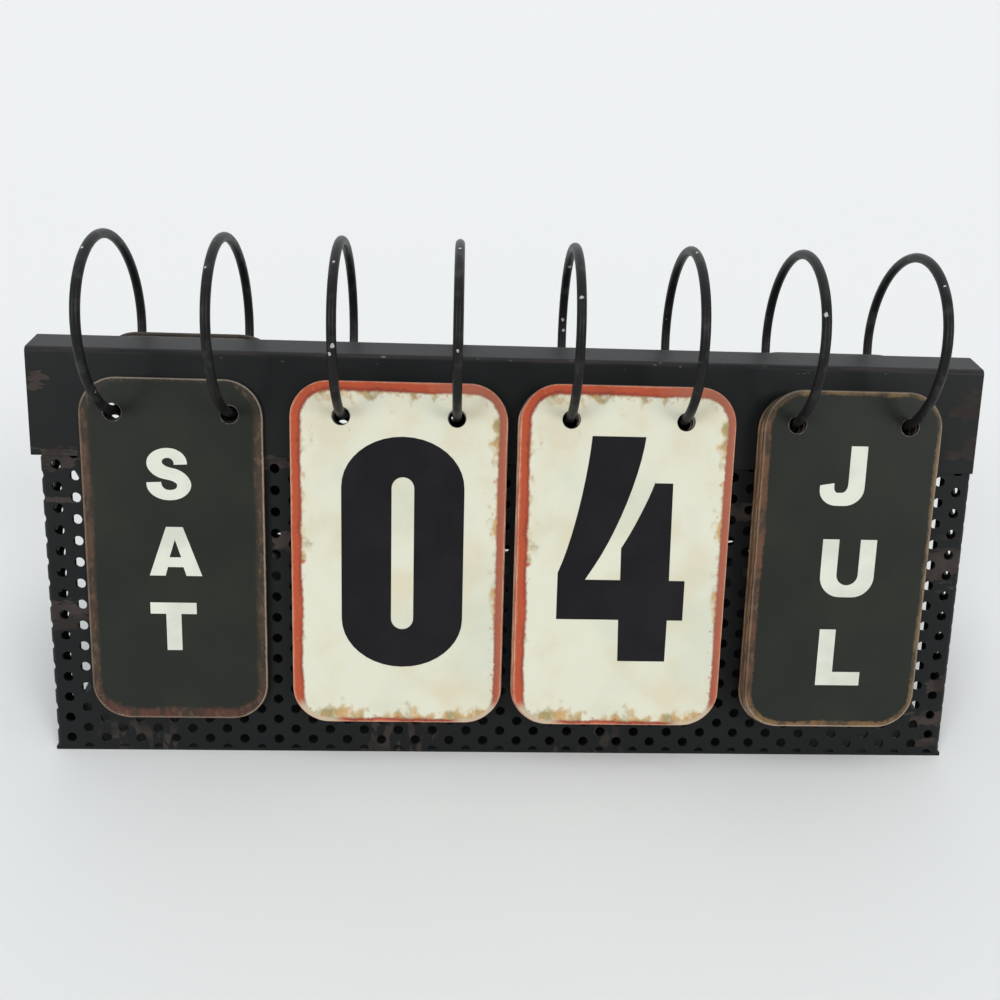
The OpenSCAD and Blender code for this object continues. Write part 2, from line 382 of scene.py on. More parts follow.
def card_blank(name, width):
    """The blank, lying flat about its own middle in millimetres, with those same places as its UV map."""
    form = bmesh.new()
    card_size = Matrix.Diagonal((width, CARD_H, 1, 1))
    bmesh.ops.create_grid(form, x_segments=1, y_segments=1, size=0.5, matrix=card_size)
    bmesh.ops.bevel(form, geom=form.verts[:], offset=CORNER_R, segments=CORNER_STEPS, profile=0.5,
                    affect="VERTICES", material=-1)
    bmesh.ops.delete(form, geom=form.faces[:], context="FACES_ONLY")
    for x in (-HOLE_SPAN / 2, HOLE_SPAN / 2):
        punch = Matrix.Translation((x, HOLE_UP, 0))
        bmesh.ops.create_circle(form, segments=HOLE_SIDES, radius=HOLE_R, matrix=punch)
    bmesh.ops.triangle_fill(form, edges=form.edges[:], use_beauty=True)
    bmesh.ops.solidify(form, geom=form.faces[:], thickness=CARD_T)
    bmesh.ops.recalc_face_normals(form, faces=form.faces)
    middle = sum(vert.co.z for vert in form.verts) / len(form.verts)
    bmesh.ops.translate(form, vec=(0, 0, -middle), verts=form.verts)
    rims = [edge for edge in form.edges
            if abs(edge.verts[0].co.z - edge.verts[1].co.z) < DEBURR and edge.calc_face_angle(0) > RIM_TURN]
    bmesh.ops.bevel(form, geom=rims, offset=DEBURR, segments=2, profile=0.5, affect="EDGES", material=-1)
    places = form.loops.layers.uv.new("card_mm")
    for face in form.faces:
        if abs(face.normal.z) <= FLAT:
            face.material_index = EDGE
        elif face.normal.z > 0:
            face.material_index = PRINT
        else:
            face.material_index = BACK
        for loop in face.loops:
            loop[places].uv = loop.vert.co.xy
    mesh = bpy.data.meshes.new(name)
    form.to_mesh(mesh)
    form.free()
    return mesh


def hung(node):
    """The matrix from a card's own millimetres to its place on the rings. Z is where its print faces."""
    low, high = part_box(node)
    middle = (low + high) / 2
    side = -1 if middle.y < 0 else 1
    leaning = Matrix.Rotation(math.pi / 2 + side * LEAN, 4, "X")
    return Matrix.Translation(middle) @ leaning @ Matrix.Scale(MM, 4)


class CardFinish(Finish):
    """A card's own finish, whose place is on the card: X and Y in millimetres from its middle.

    Its spot is a place on the whole calendar, which differs from card to card.
    """

    def __init__(self, name):
        super().__init__(name)
        self.spot = self.place
        self.place = self.spot.node("UVMap", "UV", uv_map="card_mm")
        self.across = self.place.part("X")
        self.up = self.place.part("Y")

    def inset(self, half_w, half_h, corner, centre=(0, 0)):
        """How far a point is inside a rectangle with round corners, in millimetres."""
        over_x = (self.across - centre[0]).size() - (half_w - corner)
        over_y = (self.up - centre[1]).size() - (half_h - corner)
        outside_x = over_x.most(0)
        outside_y = over_y.most(0)
        outside = (outside_x * outside_x + outside_y * outside_y).sum("SQRT")
        return corner - outside - over_x.most(over_y).least(0)

    def from_sides(self, width):
        """Distances from the left, right, upper and lower edge of a card, in millimetres."""
        left = self.across + width / 2
        right = width / 2 - self.across
        top = CARD_H / 2 - self.up
        foot = self.up + CARD_H / 2
        return left, right, top, foot

    def from_hole(self):
        """Distance from the rim of the nearer punched hole, in millimetres."""
        dx = self.across.size() - HOLE_SPAN / 2
        dy = self.up - HOLE_UP
        return (dx * dx + dy * dy).sum("SQRT") - HOLE_R

    def from_corners(self, x, y, reach):
        """Distance from the nearer of two places at x and -x, as a share of a reach along each axis."""
        left = self.place.near((-x, y, 0), reach)
        right = self.place.near((x, y, 0), reach)
        return left.least(right)


def bare_edge(name, colour, stain):
    """The cut edge, rubbed and stained at the sides, still painted along the top, and darker in the holes.
    """
    finish = CardFinish(name)
    spots = finish.spot.speckle(2.2, 4, (1, 1.8, 0.35))
    rubbed = spots.step(0.34, 0.68).blend(colour, stain)
    # The walls of the holes take the same dark tone as the painted top
    in_hole = finish.from_hole().step(1.0, 0.5)
    dark_top_and_holes = (finish.up + (spots - 0.5) * 12).step(*PAINT_STAYS).most(in_hole)
    finish.set(Base_Color=(dark_top_and_holes * 0.9).blend(rubbed, EDGE_DARK), Roughness=0.38 + spots * 0.2)
    finish.set(Metallic=0.2)
    finish.emboss(finish.spot.speckle(0.4, 3), 0.03)
    return finish.material


def plain_back():
    """Dark satin lacquer, scratched where the next card rubs on it."""
    finish = CardFinish("card_back")
    place = finish.place
    cloud = place.speckle(16, 4)
    scratches = place.speckle(0.8, 4, (1, 0.05, 1), seed=9).step(0.62, 0.72) * cloud.step(0.45, 0.6)
    colour = cloud.step(0.35, 0.7).blend(LACQUER, LACQUER_BROWN)
    colour = (scratches * 0.5).blend(colour, LACQUER_SCRATCH)
    finish.set(Base_Color=colour, Roughness=0.4 + cloud * 0.15)
    finish.emboss(place.speckle(0.7, 3) * 0.3 + cloud, 0.05)
    return finish.material


card_back = plain_back()


# ---- The number cards ----
# The same card is used for the tens and the units. It is painted orange-red all over, then cream inside a
# border, ragged where the two meet and stained ochre along its edges. The numeral is printed on the cream.

NUMBER_W = 74
FIELD_HALF_W = 33.7
FIELD_HALF_H = 58.3
FIELD_CORNER = 9.5
FIELD_MIDDLE = (0.4, -1.1)
CREAM = srgb(234, 234, 213)
CREAM_WARM = srgb(229, 222, 194)
CREAM_COOL = srgb(217, 222, 203)
ORANGE = srgb(188, 80, 45)
BRICK = srgb(150, 60, 40)
SALMON = srgb(204, 112, 78)
SALMON_BROWN = srgb(166, 102, 80)
OCHRE = srgb(204, 156, 80)
OLIVE = srgb(152, 134, 70)
OLD_CREAM = srgb(208, 200, 172)
PENCIL_GREY = srgb(120, 118, 112)
# The pale pink line along the card's rim: worn paint, and a painted highlight of the edge
RIM_PINK_WEAR_AND_HIGHLIGHT = srgb(220, 170, 142)
HOLE_BURR = srgb(205, 200, 186)
NUMBER_EDGE = srgb(214, 186, 160)
NUMBER_EDGE_STAIN = srgb(170, 104, 72)
# How far in from the foot, the top and the sides the ochre stain thins out
STAIN_FOOT, STAIN_TOP, STAIN_SIDE = 6.5, 6, 5.5
# The lower corners, where the border is faded, and how far round them
FADED_AT = (30, -60)
FADED_REACH = (12, 9, 1)


def number_print():
    """The front of a number card: its border, its cream field, and the stains and marks on them."""
    finish = CardFinish("number_print")
    place = finish.place
    fine = place.speckle(0.9, 4) - 0.5
    wave = place.speckle(5, 3, seed=4) - 0.5
    inside = finish.inset(FIELD_HALF_W, FIELD_HALF_H, FIELD_CORNER, FIELD_MIDDLE) + fine * 1.2 + wave * 1.6
    rim = finish.inset(NUMBER_W / 2, CARD_H / 2, CORNER_R)
    left, right, top, foot = finish.from_sides(NUMBER_W)

    # The cream field, mottled, with a few pencil-grey marks
    mottle = place.speckle(9, 4, seed=2)
    cream = mottle.step(0.42, 0.7).blend(CREAM, CREAM_WARM)
    cream = (place.speckle(14, 3, seed=8).step(0.5, 0.75) * 0.7).blend(cream, CREAM_COOL)
    marked = place.speckle(8, 2, seed=1).step(0.5, 0.62)
    marks = place.speckle(0.7, 5, (1, 0.35, 1), seed=6).step(0.68, 0.74) * marked
    cream = (marks * 0.35).blend(cream, PENCIL_GREY)

    # Ochre and rust stains that come in from the edges of the field
    blots = place.speckle(1.7, 5, (1, 0.75, 1), seed=21) * 3 + place.speckle(9, 2, seed=24) * 3 - 3
    stained = 0.85 - foot / STAIN_FOOT + blots
    stained = stained.most(1.0 - top / STAIN_TOP + blots)
    stained = stained.most(0.75 - left.least(right) / STAIN_SIDE + blots).step(0, 0.9)
    stain = place.speckle(2.6, 4, (1, 0.5, 1), seed=25).step(0.42, 0.66).blend(OCHRE, OLIVE)
    cream = (stained * 0.85).blend(cream, stain)
    rusty = place.speckle(1.3, 4, seed=21).step(0.6, 0.7) * (inside * -1).step(-2.4, -0.4)
    cream = (rusty * 0.7).blend(cream, ORANGE)

    # The border: salmon outside, brick-red inside, browned to the right and faded at the lower corners
    border = (rim + wave * 1.6 + fine).step(0.2, 1.0).blend(SALMON, ORANGE)
    border = (inside + wave * 2 + fine).step(-1.7, -0.3).blend(border, BRICK)
    border = (place.speckle(1.1, 4, seed=14).step(0.6, 0.74) * 0.6).blend(border, SALMON)
    browned = (finish.across + finish.up * 0.2 + wave * 20).step(14, 34)
    border = (browned * 0.7).blend(border, SALMON_BROWN)
    faded = (1 - finish.from_corners(*FADED_AT, FADED_REACH)).step(0, 0.5)
    border = (faded * 0.85).blend(border, OLD_CREAM)

    colour = inside.step(-0.6, 0.5).blend(border, cream)
    # A pale pink line along the rim: worn paint, and a painted highlight of the edge
    colour = ((rim + fine * 0.6).step(0.5, 0.2) * 0.5).blend(colour, RIM_PINK_WEAR_AND_HIGHLIGHT)
    burr = (finish.from_hole() + fine * 0.5).step(0.35, 0.15)
    colour = (burr * 0.8).blend(colour, HOLE_BURR)
    finish.set(Base_Color=colour, Roughness=0.33 + mottle * 0.12, Coat_Weight=0.15, Coat_Roughness=0.2)
    finish.emboss(inside.step(-0.2, 0.3) * 0.5 + place.speckle(1.2, 3) * 0.35 + mottle * 0.8, 0.06)
    return finish.material


# Poster numerals: heavy strokes, a narrow slot for every counter, and full round shoulders. Each numeral is
# a list of outlines. A point is x and y, and two more lengths round its corner off, before it and after it.
LEFT, RIGHT, TOP, FOOT = -21.2, 21.2, 41.2, -41.2
STROKE = 14
HIGH, LOW = TOP - STROKE, FOOT + STROKE
# Half the width of a slot, and how far across and down a shoulder is rounded off
SLOT = 3.9
SHOULDER = (21.2, 17.8)


def shoulder(x, y, across_first):
    """A big round corner of a numeral, which the outline comes to across or along its height."""
    across, along = SHOULDER
    return (x, y, across, along) if across_first else (x, y, along, across)


def counter(low, high):
    """A narrow upright slot with round ends."""
    return [(-SLOT, low, SLOT, SLOT), (SLOT, low, SLOT, SLOT),
            (SLOT, high, SLOT, SLOT), (-SLOT, high, SLOT, SLOT)]


SIX = [[(RIGHT, 15), shoulder(RIGHT, TOP, False), shoulder(LEFT, TOP, True), shoulder(LEFT, FOOT, False),
        shoulder(RIGHT, FOOT, True), (RIGHT, 11, 13, 13), (-SLOT, 11), (-SLOT, HIGH, SLOT, SLOT),
        (SLOT, HIGH, SLOT, SLOT), (SLOT, 15)],
       counter(LOW, -1)]
NUMERALS = {
    "0": [[shoulder(RIGHT, TOP, False), shoulder(LEFT, TOP, True), shoulder(LEFT, FOOT, False),
           shoulder(RIGHT, FOOT, True)],
          counter(LOW, HIGH)],
    "1": [[(-4, TOP), (13.5, TOP), (13.5, FOOT), (-4.5, FOOT), (-4.5, 19), (-17, 19), (-17, 27),
           (-6, 30, 9, 10)]],
    "2": [[(LEFT, 13), shoulder(LEFT, TOP, False), shoulder(RIGHT, TOP, True), (RIGHT, 2, 13, 22), (3, LOW),
           (RIGHT, LOW), (RIGHT, FOOT), (LEFT, FOOT), (LEFT, -24), (SLOT, 2, 24, 18),
           (SLOT, HIGH, SLOT, SLOT), (-SLOT, HIGH, SLOT, SLOT), (-SLOT, 13)]],
    "3": [[(LEFT, 14), shoulder(LEFT, TOP, False), shoulder(RIGHT, TOP, True), (RIGHT, 5, 7, 3),
           (RIGHT - 4.5, 1), (RIGHT, -3, 3, 7), shoulder(RIGHT, FOOT, False), shoulder(LEFT, FOOT, True),
           (LEFT, -14), (-SLOT, -14), (-SLOT, LOW, SLOT, SLOT), (SLOT, LOW, SLOT, SLOT), (SLOT, -5, 4, 4),
           (-7, -5), (-7, 7), (SLOT, 7, 4, 4), (SLOT, HIGH, SLOT, SLOT), (-SLOT, HIGH, SLOT, SLOT),
           (-SLOT, 14)]],
    "4": [[(-13.8, 42.4), (4.7, 42.4), (2.9, 20, 23, 27), (-14.3, -8.2), (-1.9, -8.2), (-2.1, 3.3),
           (5.4, 16, 14, 12), (8.6, 26.5), (14.9, 26.5), (15.4, -8.2), (21, -8.2), (21, -22.7),
           (15.5, -22.7), (15.4, -38), (-1.5, -38), (-1.9, -22.7), (-24, -22.7), (-24, -5.8),
           (-15.7, 14.6, 21, 28)]],
    "5": [[(LEFT, TOP), (RIGHT - 3, TOP), (RIGHT - 3, HIGH), (-SLOT, HIGH), (-SLOT, 11.5),
           (RIGHT, 11.5, 18, 16), shoulder(RIGHT, FOOT, False), shoulder(LEFT, FOOT, True), (LEFT, -13),
           (-SLOT, -13), (-SLOT, LOW, SLOT, SLOT), (SLOT, LOW, SLOT, SLOT), (SLOT, -2, SLOT, SLOT),
           (-SLOT, -2, SLOT, SLOT), (-SLOT, -5), (LEFT, -5)]],
    "6": SIX,
    "7": [[(LEFT, TOP), (RIGHT, TOP), (RIGHT, 22), (4, -6, 30, 28), (3, FOOT), (-15.5, FOOT),
           (-13, -8, 30, 28), (2.5, HIGH), (LEFT, HIGH)]],
    "8": [[shoulder(RIGHT, TOP, False), shoulder(LEFT, TOP, True), (LEFT, 5, 7, 3), (LEFT + 4.5, 1),
           (LEFT, -3, 3, 7), shoulder(LEFT, FOOT, False), shoulder(RIGHT, FOOT, True), (RIGHT, -3, 7, 3),
           (RIGHT - 4.5, 1), (RIGHT, 5, 3, 7)],
          counter(LOW, -5), counter(7, HIGH)],
    "9": [[(-x, -y, *rounding) for x, y, *rounding in outline] for outline in SIX],
}
PRINT_T = 0.05
CURVE_STEPS = 10
WELD = 0.002
SLIVER = 0.001
# How far the handles of a curve that turns a quarter circle reach towards its corner
QUARTER_ROUND = 0.5523


def knots(outline):
    """The points of an outline, each with its curve's handle before it and after it."""
    made = []
    for count, (x, y, *rounding) in enumerate(outline):
        corner = Vector((x, y, 0))
        if not rounding:
            made.append((corner, corner, corner))
            continue
        before = Vector((*outline[count - 1][:2], 0)) - corner
        after = Vector((*outline[(count + 1) % len(outline)][:2], 0)) - corner
        start = corner + before.normalized() * rounding[0]
        end = corner + after.normalized() * rounding[1]
        made.append((start, start, start.lerp(corner, QUARTER_ROUND)))
        made.append((end.lerp(corner, QUARTER_ROUND), end, end))
    return made


def printed(name, marks, middle):
    """A thin film of paint with these outlines, about a middle on a card, in the card's own millimetres."""
    drawing = bpy.data.curves.new(name, "CURVE")
    drawing.dimensions = "2D"
    drawing.fill_mode = "BOTH"
    drawing.extrude = PRINT_T / 2
    drawing.resolution_u = CURVE_STEPS
    for outline in marks:
        along = knots(outline)
        spline = drawing.splines.new("BEZIER")
        spline.use_cyclic_u = True
        spline.bezier_points.add(len(along) - 1)
        for point, (handle_before, knot, handle_after) in zip(spline.bezier_points, along):
            point.handle_left = handle_before
            point.co = knot
            point.handle_right = handle_after
    holder = bpy.data.objects.new(name, drawing)
    bpy.context.scene.collection.objects.link(holder)
    bpy.context.view_layer.update()
    filled = holder.evaluated_get(bpy.context.evaluated_depsgraph_get())
    mesh = bpy.data.meshes.new_from_object(filled)
    bpy.data.objects.remove(holder)
    bpy.data.curves.remove(drawing)
    form = bmesh.new()
    form.from_mesh(mesh)
    bmesh.ops.remove_doubles(form, verts=form.verts, dist=WELD)
    bmesh.ops.dissolve_degenerate(form, edges=form.edges, dist=SLIVER)
    bmesh.ops.recalc_face_normals(form, faces=form.faces)
    bmesh.ops.translate(form, vec=(*middle, (CARD_T + PRINT_T) / 2), verts=form.verts)
    places = form.loops.layers.uv.verify()
    for face in form.faces:
        for loop in face.loops:
            loop[places].uv = loop.vert.co.xy
    form.to_mesh(mesh)
    form.free()
    mesh.uv_layers[0].name = "card_mm"
    mesh.name = name
    return mesh


def ink(name, colour, worn, wear):
    """Screen-printed ink: even, a little glossy, with pinholes and a faint cloud."""
    finish = CardFinish(name)
    place = finish.place
    cloud = place.speckle(7, 3, seed=5)
    pinholes = place.speckle(0.45, 2, seed=13).step(0.74, 0.78)
    tone = (cloud.step(0.4, 0.7) * wear).blend(colour, worn)
    finish.set(Base_Color=(pinholes * 0.4).blend(tone, worn), Roughness=0.36 + cloud * 0.12)
    finish.set(Specular_IOR_Level=0.3)
    finish.emboss(place.speckle(0.8, 3), 0.02)
    return finish.material


def hang_card(node, width, faces):
    """Builds a card in place of a node, on the node's own body."""
    blank = card_blank(node + "_sheet", width)
    blank.transform(hung(node))
    card = piece(node + "_sheet", blank, faces, node)
    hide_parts(node)


def hang_print(node, name, marks, middle, paint):
    """Lays a print on the front of a card, on the card's own body."""
    film = printed(name, marks, middle)
    film.transform(hung(node))
    piece(name, film, [paint], node)


NUMERAL_MIDDLE = (1.5, 1.2)
NUMERAL_BLACK = srgb(14, 11, 16)
NUMERAL_WORN = srgb(27, 23, 28)
number_edge = bare_edge("number_edge", NUMBER_EDGE, NUMBER_EDGE_STAIN)
number_faces = [number_print(), number_edge, card_back]
number_ink = ink("number_ink", NUMERAL_BLACK, NUMERAL_WORN, 0.5)
for group in ("tens", "units"):
    for node in [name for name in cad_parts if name.startswith(group + "_card_")]:
        numeral = node.split("_")[-1]
        marks = NUMERALS[numeral]
        hang_card(node, NUMBER_W, number_faces)
        hang_print(node, f"{group}_numeral_{numeral}", marks, NUMERAL_MIDDLE, number_ink)


# ---- The day and month cards ----
# Narrower cards in charcoal paint, with a border rubbed to the brown under it: soft on the days, narrow and
# tan on the months. The letters stand one below the other in warm white, heavier and smaller on the days
# than on the months.

WORD_W = 62
CHARCOAL = srgb(31, 35, 28)
CHARCOAL_PALE = srgb(38, 41, 33)
RUBBED_DARK = srgb(50, 44, 35)
RUBBED_PALE = srgb(134, 106, 82)
# The pale line along a card's rim: rubbed paint, and a painted highlight of the edge
RIM_LINE_WEAR_AND_HIGHLIGHT = srgb(172, 162, 146)
CORNER_SPECK = srgb(190, 186, 172)
WORD_BURR = srgb(160, 156, 146)
WORD_EDGE = srgb(162, 130, 94)
WORD_EDGE_STAIN = srgb(108, 72, 48)
# The lower corners, where bright specks show, and how far round them
SPECKS_AT = (25, -55)
SPECKS_REACH = (9, 9, 1)
# How far from an edge its border begins to give way to its neighbour's, and where it has
BORDER_TURN = (15, 5)

# The border at the left, right, upper and lower edge: its width, its colour, and how strong the pale line
# along its rim is, which is partly rubbed paint and partly a painted highlight of the edge
DAY_BORDER = [(2.8, srgb(92, 66, 50), 0.3), (2.9, srgb(72, 58, 45), 0.8),
              (0.9, srgb(56, 47, 38), 0.7), (3.6, srgb(92, 56, 45), 0.4)]
MONTH_BORDER = [(2.4, srgb(110, 74, 52), 0.3), (1.4, srgb(118, 98, 68), 0.5),
                (1.5, srgb(122, 98, 62), 0.4), (2.1, srgb(134, 102, 64), 0.9)]


def word_print(name, border, softness):
    """The front of a day or month card: charcoal, with each side's own rubbed border."""
    finish = CardFinish(name)
    place = finish.place
    fine = place.speckle(0.8, 5) - 0.5
    wave = place.speckle(7, 3, (1, 0.5, 1), seed=4) - 0.5
    rim = finish.inset(WORD_W / 2, CARD_H / 2, CORNER_R)
    wide = rim * 0
    rim_wear_and_highlight = rim * 0
    edge = border[0][1]
    for away, (side_wide, side_colour, side_line) in zip(finish.from_sides(WORD_W), border):
        by_side = away.step(*BORDER_TURN)
        wide = wide.most(by_side * side_wide)
        rim_wear_and_highlight = rim_wear_and_highlight.most(by_side * side_line)
        edge = by_side.blend(edge, side_colour)

    worn = (wide - rim + fine * 1.8 + wave * 2.4).step(-softness, softness)
    cloud = place.speckle(15, 4, seed=2)
    face = cloud.step(0.4, 0.72).blend(CHARCOAL, CHARCOAL_PALE)
    dark = place.speckle(2.4, 5, (1, 0.4, 1), seed=11).step(0.44, 0.62)
    edge = (dark * 0.75).blend(edge, RUBBED_DARK)
    flecks = place.speckle(0.9, 5, (1, 0.5, 1), seed=29).step(0.5, 0.68)
    edge = (flecks * 0.4).blend(edge, RUBBED_PALE)
    colour = (worn * 0.85).blend(face, edge)

    # Bright marks: the line along the rim, rubbed paint and a painted highlight of the edge, and wear:
    # specks in the lower corners and the burr round each hole
    line = (rim + fine * 0.7).step(0.8, 0.3) * rim_wear_and_highlight
    colour = (line * 0.8).blend(colour, RIM_LINE_WEAR_AND_HIGHLIGHT)
    in_corner = finish.from_corners(*SPECKS_AT, SPECKS_REACH).step(1, 0.7)
    specks = place.speckle(0.45, 2, seed=19).step(0.68, 0.72) * in_corner
    colour = (specks * worn * 0.7).blend(colour, CORNER_SPECK)
    burr = (finish.from_hole() + fine * 0.4).step(0.3, 0.12)
    colour = (burr * 0.85).blend(colour, WORD_BURR)
    finish.set(Base_Color=colour, Roughness=0.36 + cloud * 0.12 + worn * 0.12, Coat_Weight=0.05)
    finish.set(Specular_IOR_Level=0.3, Coat_Roughness=0.25)
    finish.emboss(place.speckle(1.1, 3) * 0.3 + cloud - worn * 0.4, 0.05)
    return finish.material


def letters(stem, bar):
    """Plain capitals of height 1 about x = 0, with upright strokes stem wide and level ones bar high."""
    half_bar = bar / 2
    half = stem / 2

    def bowl(right, low, high):
        """The right-hand end of a round stroke, going up."""
        rise = (high - low) / 2
        return [(right, low, rise, rise), (right, high, rise, rise)]

    def oval(half_w, low, high):
        """A round outline, going round from its lower left."""
        rise = (high - low) / 2
        return [(-half_w, low, rise, half_w), (half_w, low, half_w, rise),
                (half_w, high, rise, half_w), (-half_w, high, half_w, rise)]

    # Half the width of a letter, the uprights of M and N, a slanting stroke, and the foot of the P's bowl
    w = 0.42
    n = stem * 0.92
    slant = stem * 1.04
    p_low = 0.36
    return {
        "A": [[(-0.52, 0), (-0.52 + slant, 0), (-0.52 + slant + 0.055, 0.18), (0.52 - slant - 0.055, 0.18),
               (0.52 - slant, 0), (0.52, 0), (0.165, 1), (-0.165, 1)],
              [(-0.115, 0.38), (0.115, 0.38), (0, 0.745)]],
        "B": [[(-w, 0), *bowl(w, 0, 0.53), (w - 0.1, 0.53), *bowl(w - 0.03, 0.53, 1), (-w, 1)],
              [(-w + stem, bar * 0.8), *bowl(w - stem, bar * 0.8, 0.42), (-w + stem, 0.42)],
              [(-w + stem, 0.62), *bowl(w - stem - 0.02, 0.62, 1 - bar * 0.8), (-w + stem, 1 - bar * 0.8)]],
        "C": [[(w, 0.35), (w, -0.02, 0.37, w), (-w, -0.02, w, 0.5), (-w, 1.02, 0.5, w), (w, 1.02, w, 0.37),
               (w, 0.65), (w - stem, 0.65), (w - stem, 1 - bar, 0.1, w - stem),
               (-w + stem, 1 - bar, w - stem, 0.3), (-w + stem, bar, 0.3, w - stem),
               (w - stem, bar, w - stem, 0.1), (w - stem, 0.35)]],
        "D": [[(-w, 0), (w, 0, w, 0.45), (w, 1, 0.45, w), (-w, 1)],
              [(-w + stem, bar), (w - stem, bar, w - stem, 0.24), (w - stem, 1 - bar, 0.24, w - stem),
               (-w + stem, 1 - bar)]],
        "E": [[(-0.38, 0), (0.38, 0), (0.38, bar), (-0.38 + stem, bar), (-0.38 + stem, 0.5 - half_bar),
               (0.33, 0.5 - half_bar), (0.33, 0.5 + half_bar), (-0.38 + stem, 0.5 + half_bar),
               (-0.38 + stem, 1 - bar), (0.38, 1 - bar), (0.38, 1), (-0.38, 1)]],
        "F": [[(-0.36, 0), (-0.36 + stem, 0), (-0.36 + stem, 0.48 - half_bar), (0.3, 0.48 - half_bar),
               (0.3, 0.48 + half_bar), (-0.36 + stem, 0.48 + half_bar), (-0.36 + stem, 1 - bar),
               (0.37, 1 - bar), (0.37, 1), (-0.36, 1)]],
        "G": [[(w, 0.56), (w, -0.02, 0.4, w), (-w, -0.02, w, 0.5), (-w, 1.02, 0.5, w), (w, 1.02, w, 0.35),
               (w, 0.68), (w - stem, 0.68), (w - stem, 1 - bar, 0.08, w - stem),
               (-w + stem, 1 - bar, w - stem, 0.3), (-w + stem, bar, 0.3, w - stem),
               (w - stem, bar, w - stem, 0.1), (w - stem, 0.56 - bar), (0.02, 0.56 - bar), (0.02, 0.56)]],
        "H": [[(-w, 0), (-w + stem, 0), (-w + stem, 0.5 - half_bar), (w - stem, 0.5 - half_bar),
               (w - stem, 0), (w, 0), (w, 1), (w - stem, 1), (w - stem, 0.5 + half_bar),
               (-w + stem, 0.5 + half_bar), (-w + stem, 1), (-w, 1)]],
        "I": [[(-half, 0), (half, 0), (half, 1), (-half, 1)]],
        "J": [[(0.37, 1), (0.37, 0, 0.3, 0.33), (-0.38, 0, 0.3, 0.26), (-0.38, 0.34),
               (-0.38 + stem * 0.86, 0.38), (-0.38 + stem * 0.86, bar - 0.02, 0.1, 0.06),
               (0.37 - stem, bar - 0.02, 0.1, 0.15), (0.37 - stem, 1)]],
        "L": [[(-0.38, 0), (0.38, 0), (0.38, bar), (-0.38 + stem, bar), (-0.38 + stem, 1), (-0.38, 1)]],
        "M": [[(-0.52, 0), (-0.52 + n, 0), (-0.52 + n, 0.62), (-half * 0.7, 0), (half * 0.7, 0),
               (0.52 - n, 0.62), (0.52 - n, 0), (0.52, 0), (0.52, 1), (0.52 - n * 1.35, 1), (0, 0.42),
               (-0.52 + n * 1.35, 1), (-0.52, 1)]],
        "N": [[(-w, 0), (-w + n, 0), (-w + n, 0.56), (w - n, 0), (w, 0), (w, 1), (w - n, 1), (w - n, 0.44),
               (-w + n, 1), (-w, 1)]],
        "O": [oval(0.47, -0.02, 1.02), oval(0.47 - stem, bar - 0.02, 1.02 - bar)],
        "P": [[(-w + 0.02, 0), (-w + 0.02 + stem, 0), (-w + 0.02 + stem, p_low), *bowl(w, p_low, 1),
               (-w + 0.02, 1)],
              [(-w + 0.02 + stem, p_low + bar * 0.85), *bowl(w - stem, p_low + bar * 0.85, 1 - bar * 0.85),
               (-w + 0.02 + stem, 1 - bar * 0.85)]],
        "R": [[(-w, 0), (-w + stem, 0), (-w + stem, 0.37), (0.0, 0.37), (w - slant + 0.05, 0),
               (w + 0.06, 0), (0.2, 0.42), (w, 0.45, 0.12, 0.2), (w, 1, 0.24, 0.26), (-w, 1)],
              [(-w + stem, 0.6), *bowl(w - stem, 0.6, 1 - bar * 0.85), (-w + stem, 1 - bar * 0.85)]],
        "S": [[(0.365, 0.7), (0.365, 1.02, 0.3, 0.37), (-0.42, 1.02, 0.42, 0.3), (-0.42, 0.46, 0.25, 0.34),
               (0.16, 0.36, 0.2, 0.07), (0.16, 0.185, 0.08, 0.14), (-0.13, 0.185, 0.13, 0.12),
               (-0.15, 0.345), (-0.436, 0.33), (-0.436, -0.02, 0.32, 0.43), (0.436, -0.02, 0.43, 0.32),
               (0.436, 0.55, 0.26, 0.34), (-0.12, 0.66, 0.2, 0.07), (-0.12, 0.825, 0.07, 0.12),
               (0.1, 0.825, 0.11, 0.1), (0.11, 0.69)]],
        "T": [[(-half, 0), (half, 0), (half, 1 - bar), (0.46, 1 - bar), (0.46, 1), (-0.46, 1),
               (-0.46, 1 - bar), (-half, 1 - bar)]],
        "U": [[(-0.46, 1), (-0.46, 0, 0.36, 0.36), (0.46, 0, 0.36, 0.36), (0.46, 1), (0.46 - stem, 1),
               (0.46 - stem, bar - 0.03, 0.46 - stem, 0.46 - stem),
               (-0.46 + stem, bar - 0.03, 0.46 - stem, 0.46 - stem), (-0.46 + stem, 1)]],
        "V": [[(-0.185, 0), (0.185, 0), (0.5, 1), (0.5 - slant, 1), (0, 0.3), (-0.5 + slant, 1),
               (-0.5, 1)]],
        "W": [[(-0.42, 0), (-0.13, 0), (0, 0.55), (0.13, 0), (0.42, 0), (0.66, 1), (0.66 - slant * 0.9, 1),
               (0.28, 0.42), (0.15, 1), (-0.15, 1), (-0.28, 0.42), (-0.66 + slant * 0.9, 1), (-0.66, 1)]],
        "Y": [[(-half, 0), (half, 0), (half, 0.38), (0.5, 1), (0.5 - slant, 1), (0, 0.62),
               (-0.5 + slant, 1), (-0.5, 1), (-half, 0.38)]],
    }


# Letters that are set off the middle line, as a share of their height
SET_OVER = {"J": -0.215, "A": 0.075}


def word_outlines(word, alphabet, height, pitch):
    """A word's letters one below the other about x = 0, in millimetres."""
    outlines = []
    for count, letter in enumerate(word):
        foot = (1 - count) * pitch - height / 2
        over = SET_OVER.get(letter, 0)
        for outline in alphabet[letter]:
            scaled = []
            for x, y, *rounding in outline:
                round_off = [length * height for length in rounding]
                scaled.append(((x + over) * height, y * height + foot, *round_off))
            outlines.append(scaled)
    return outlines


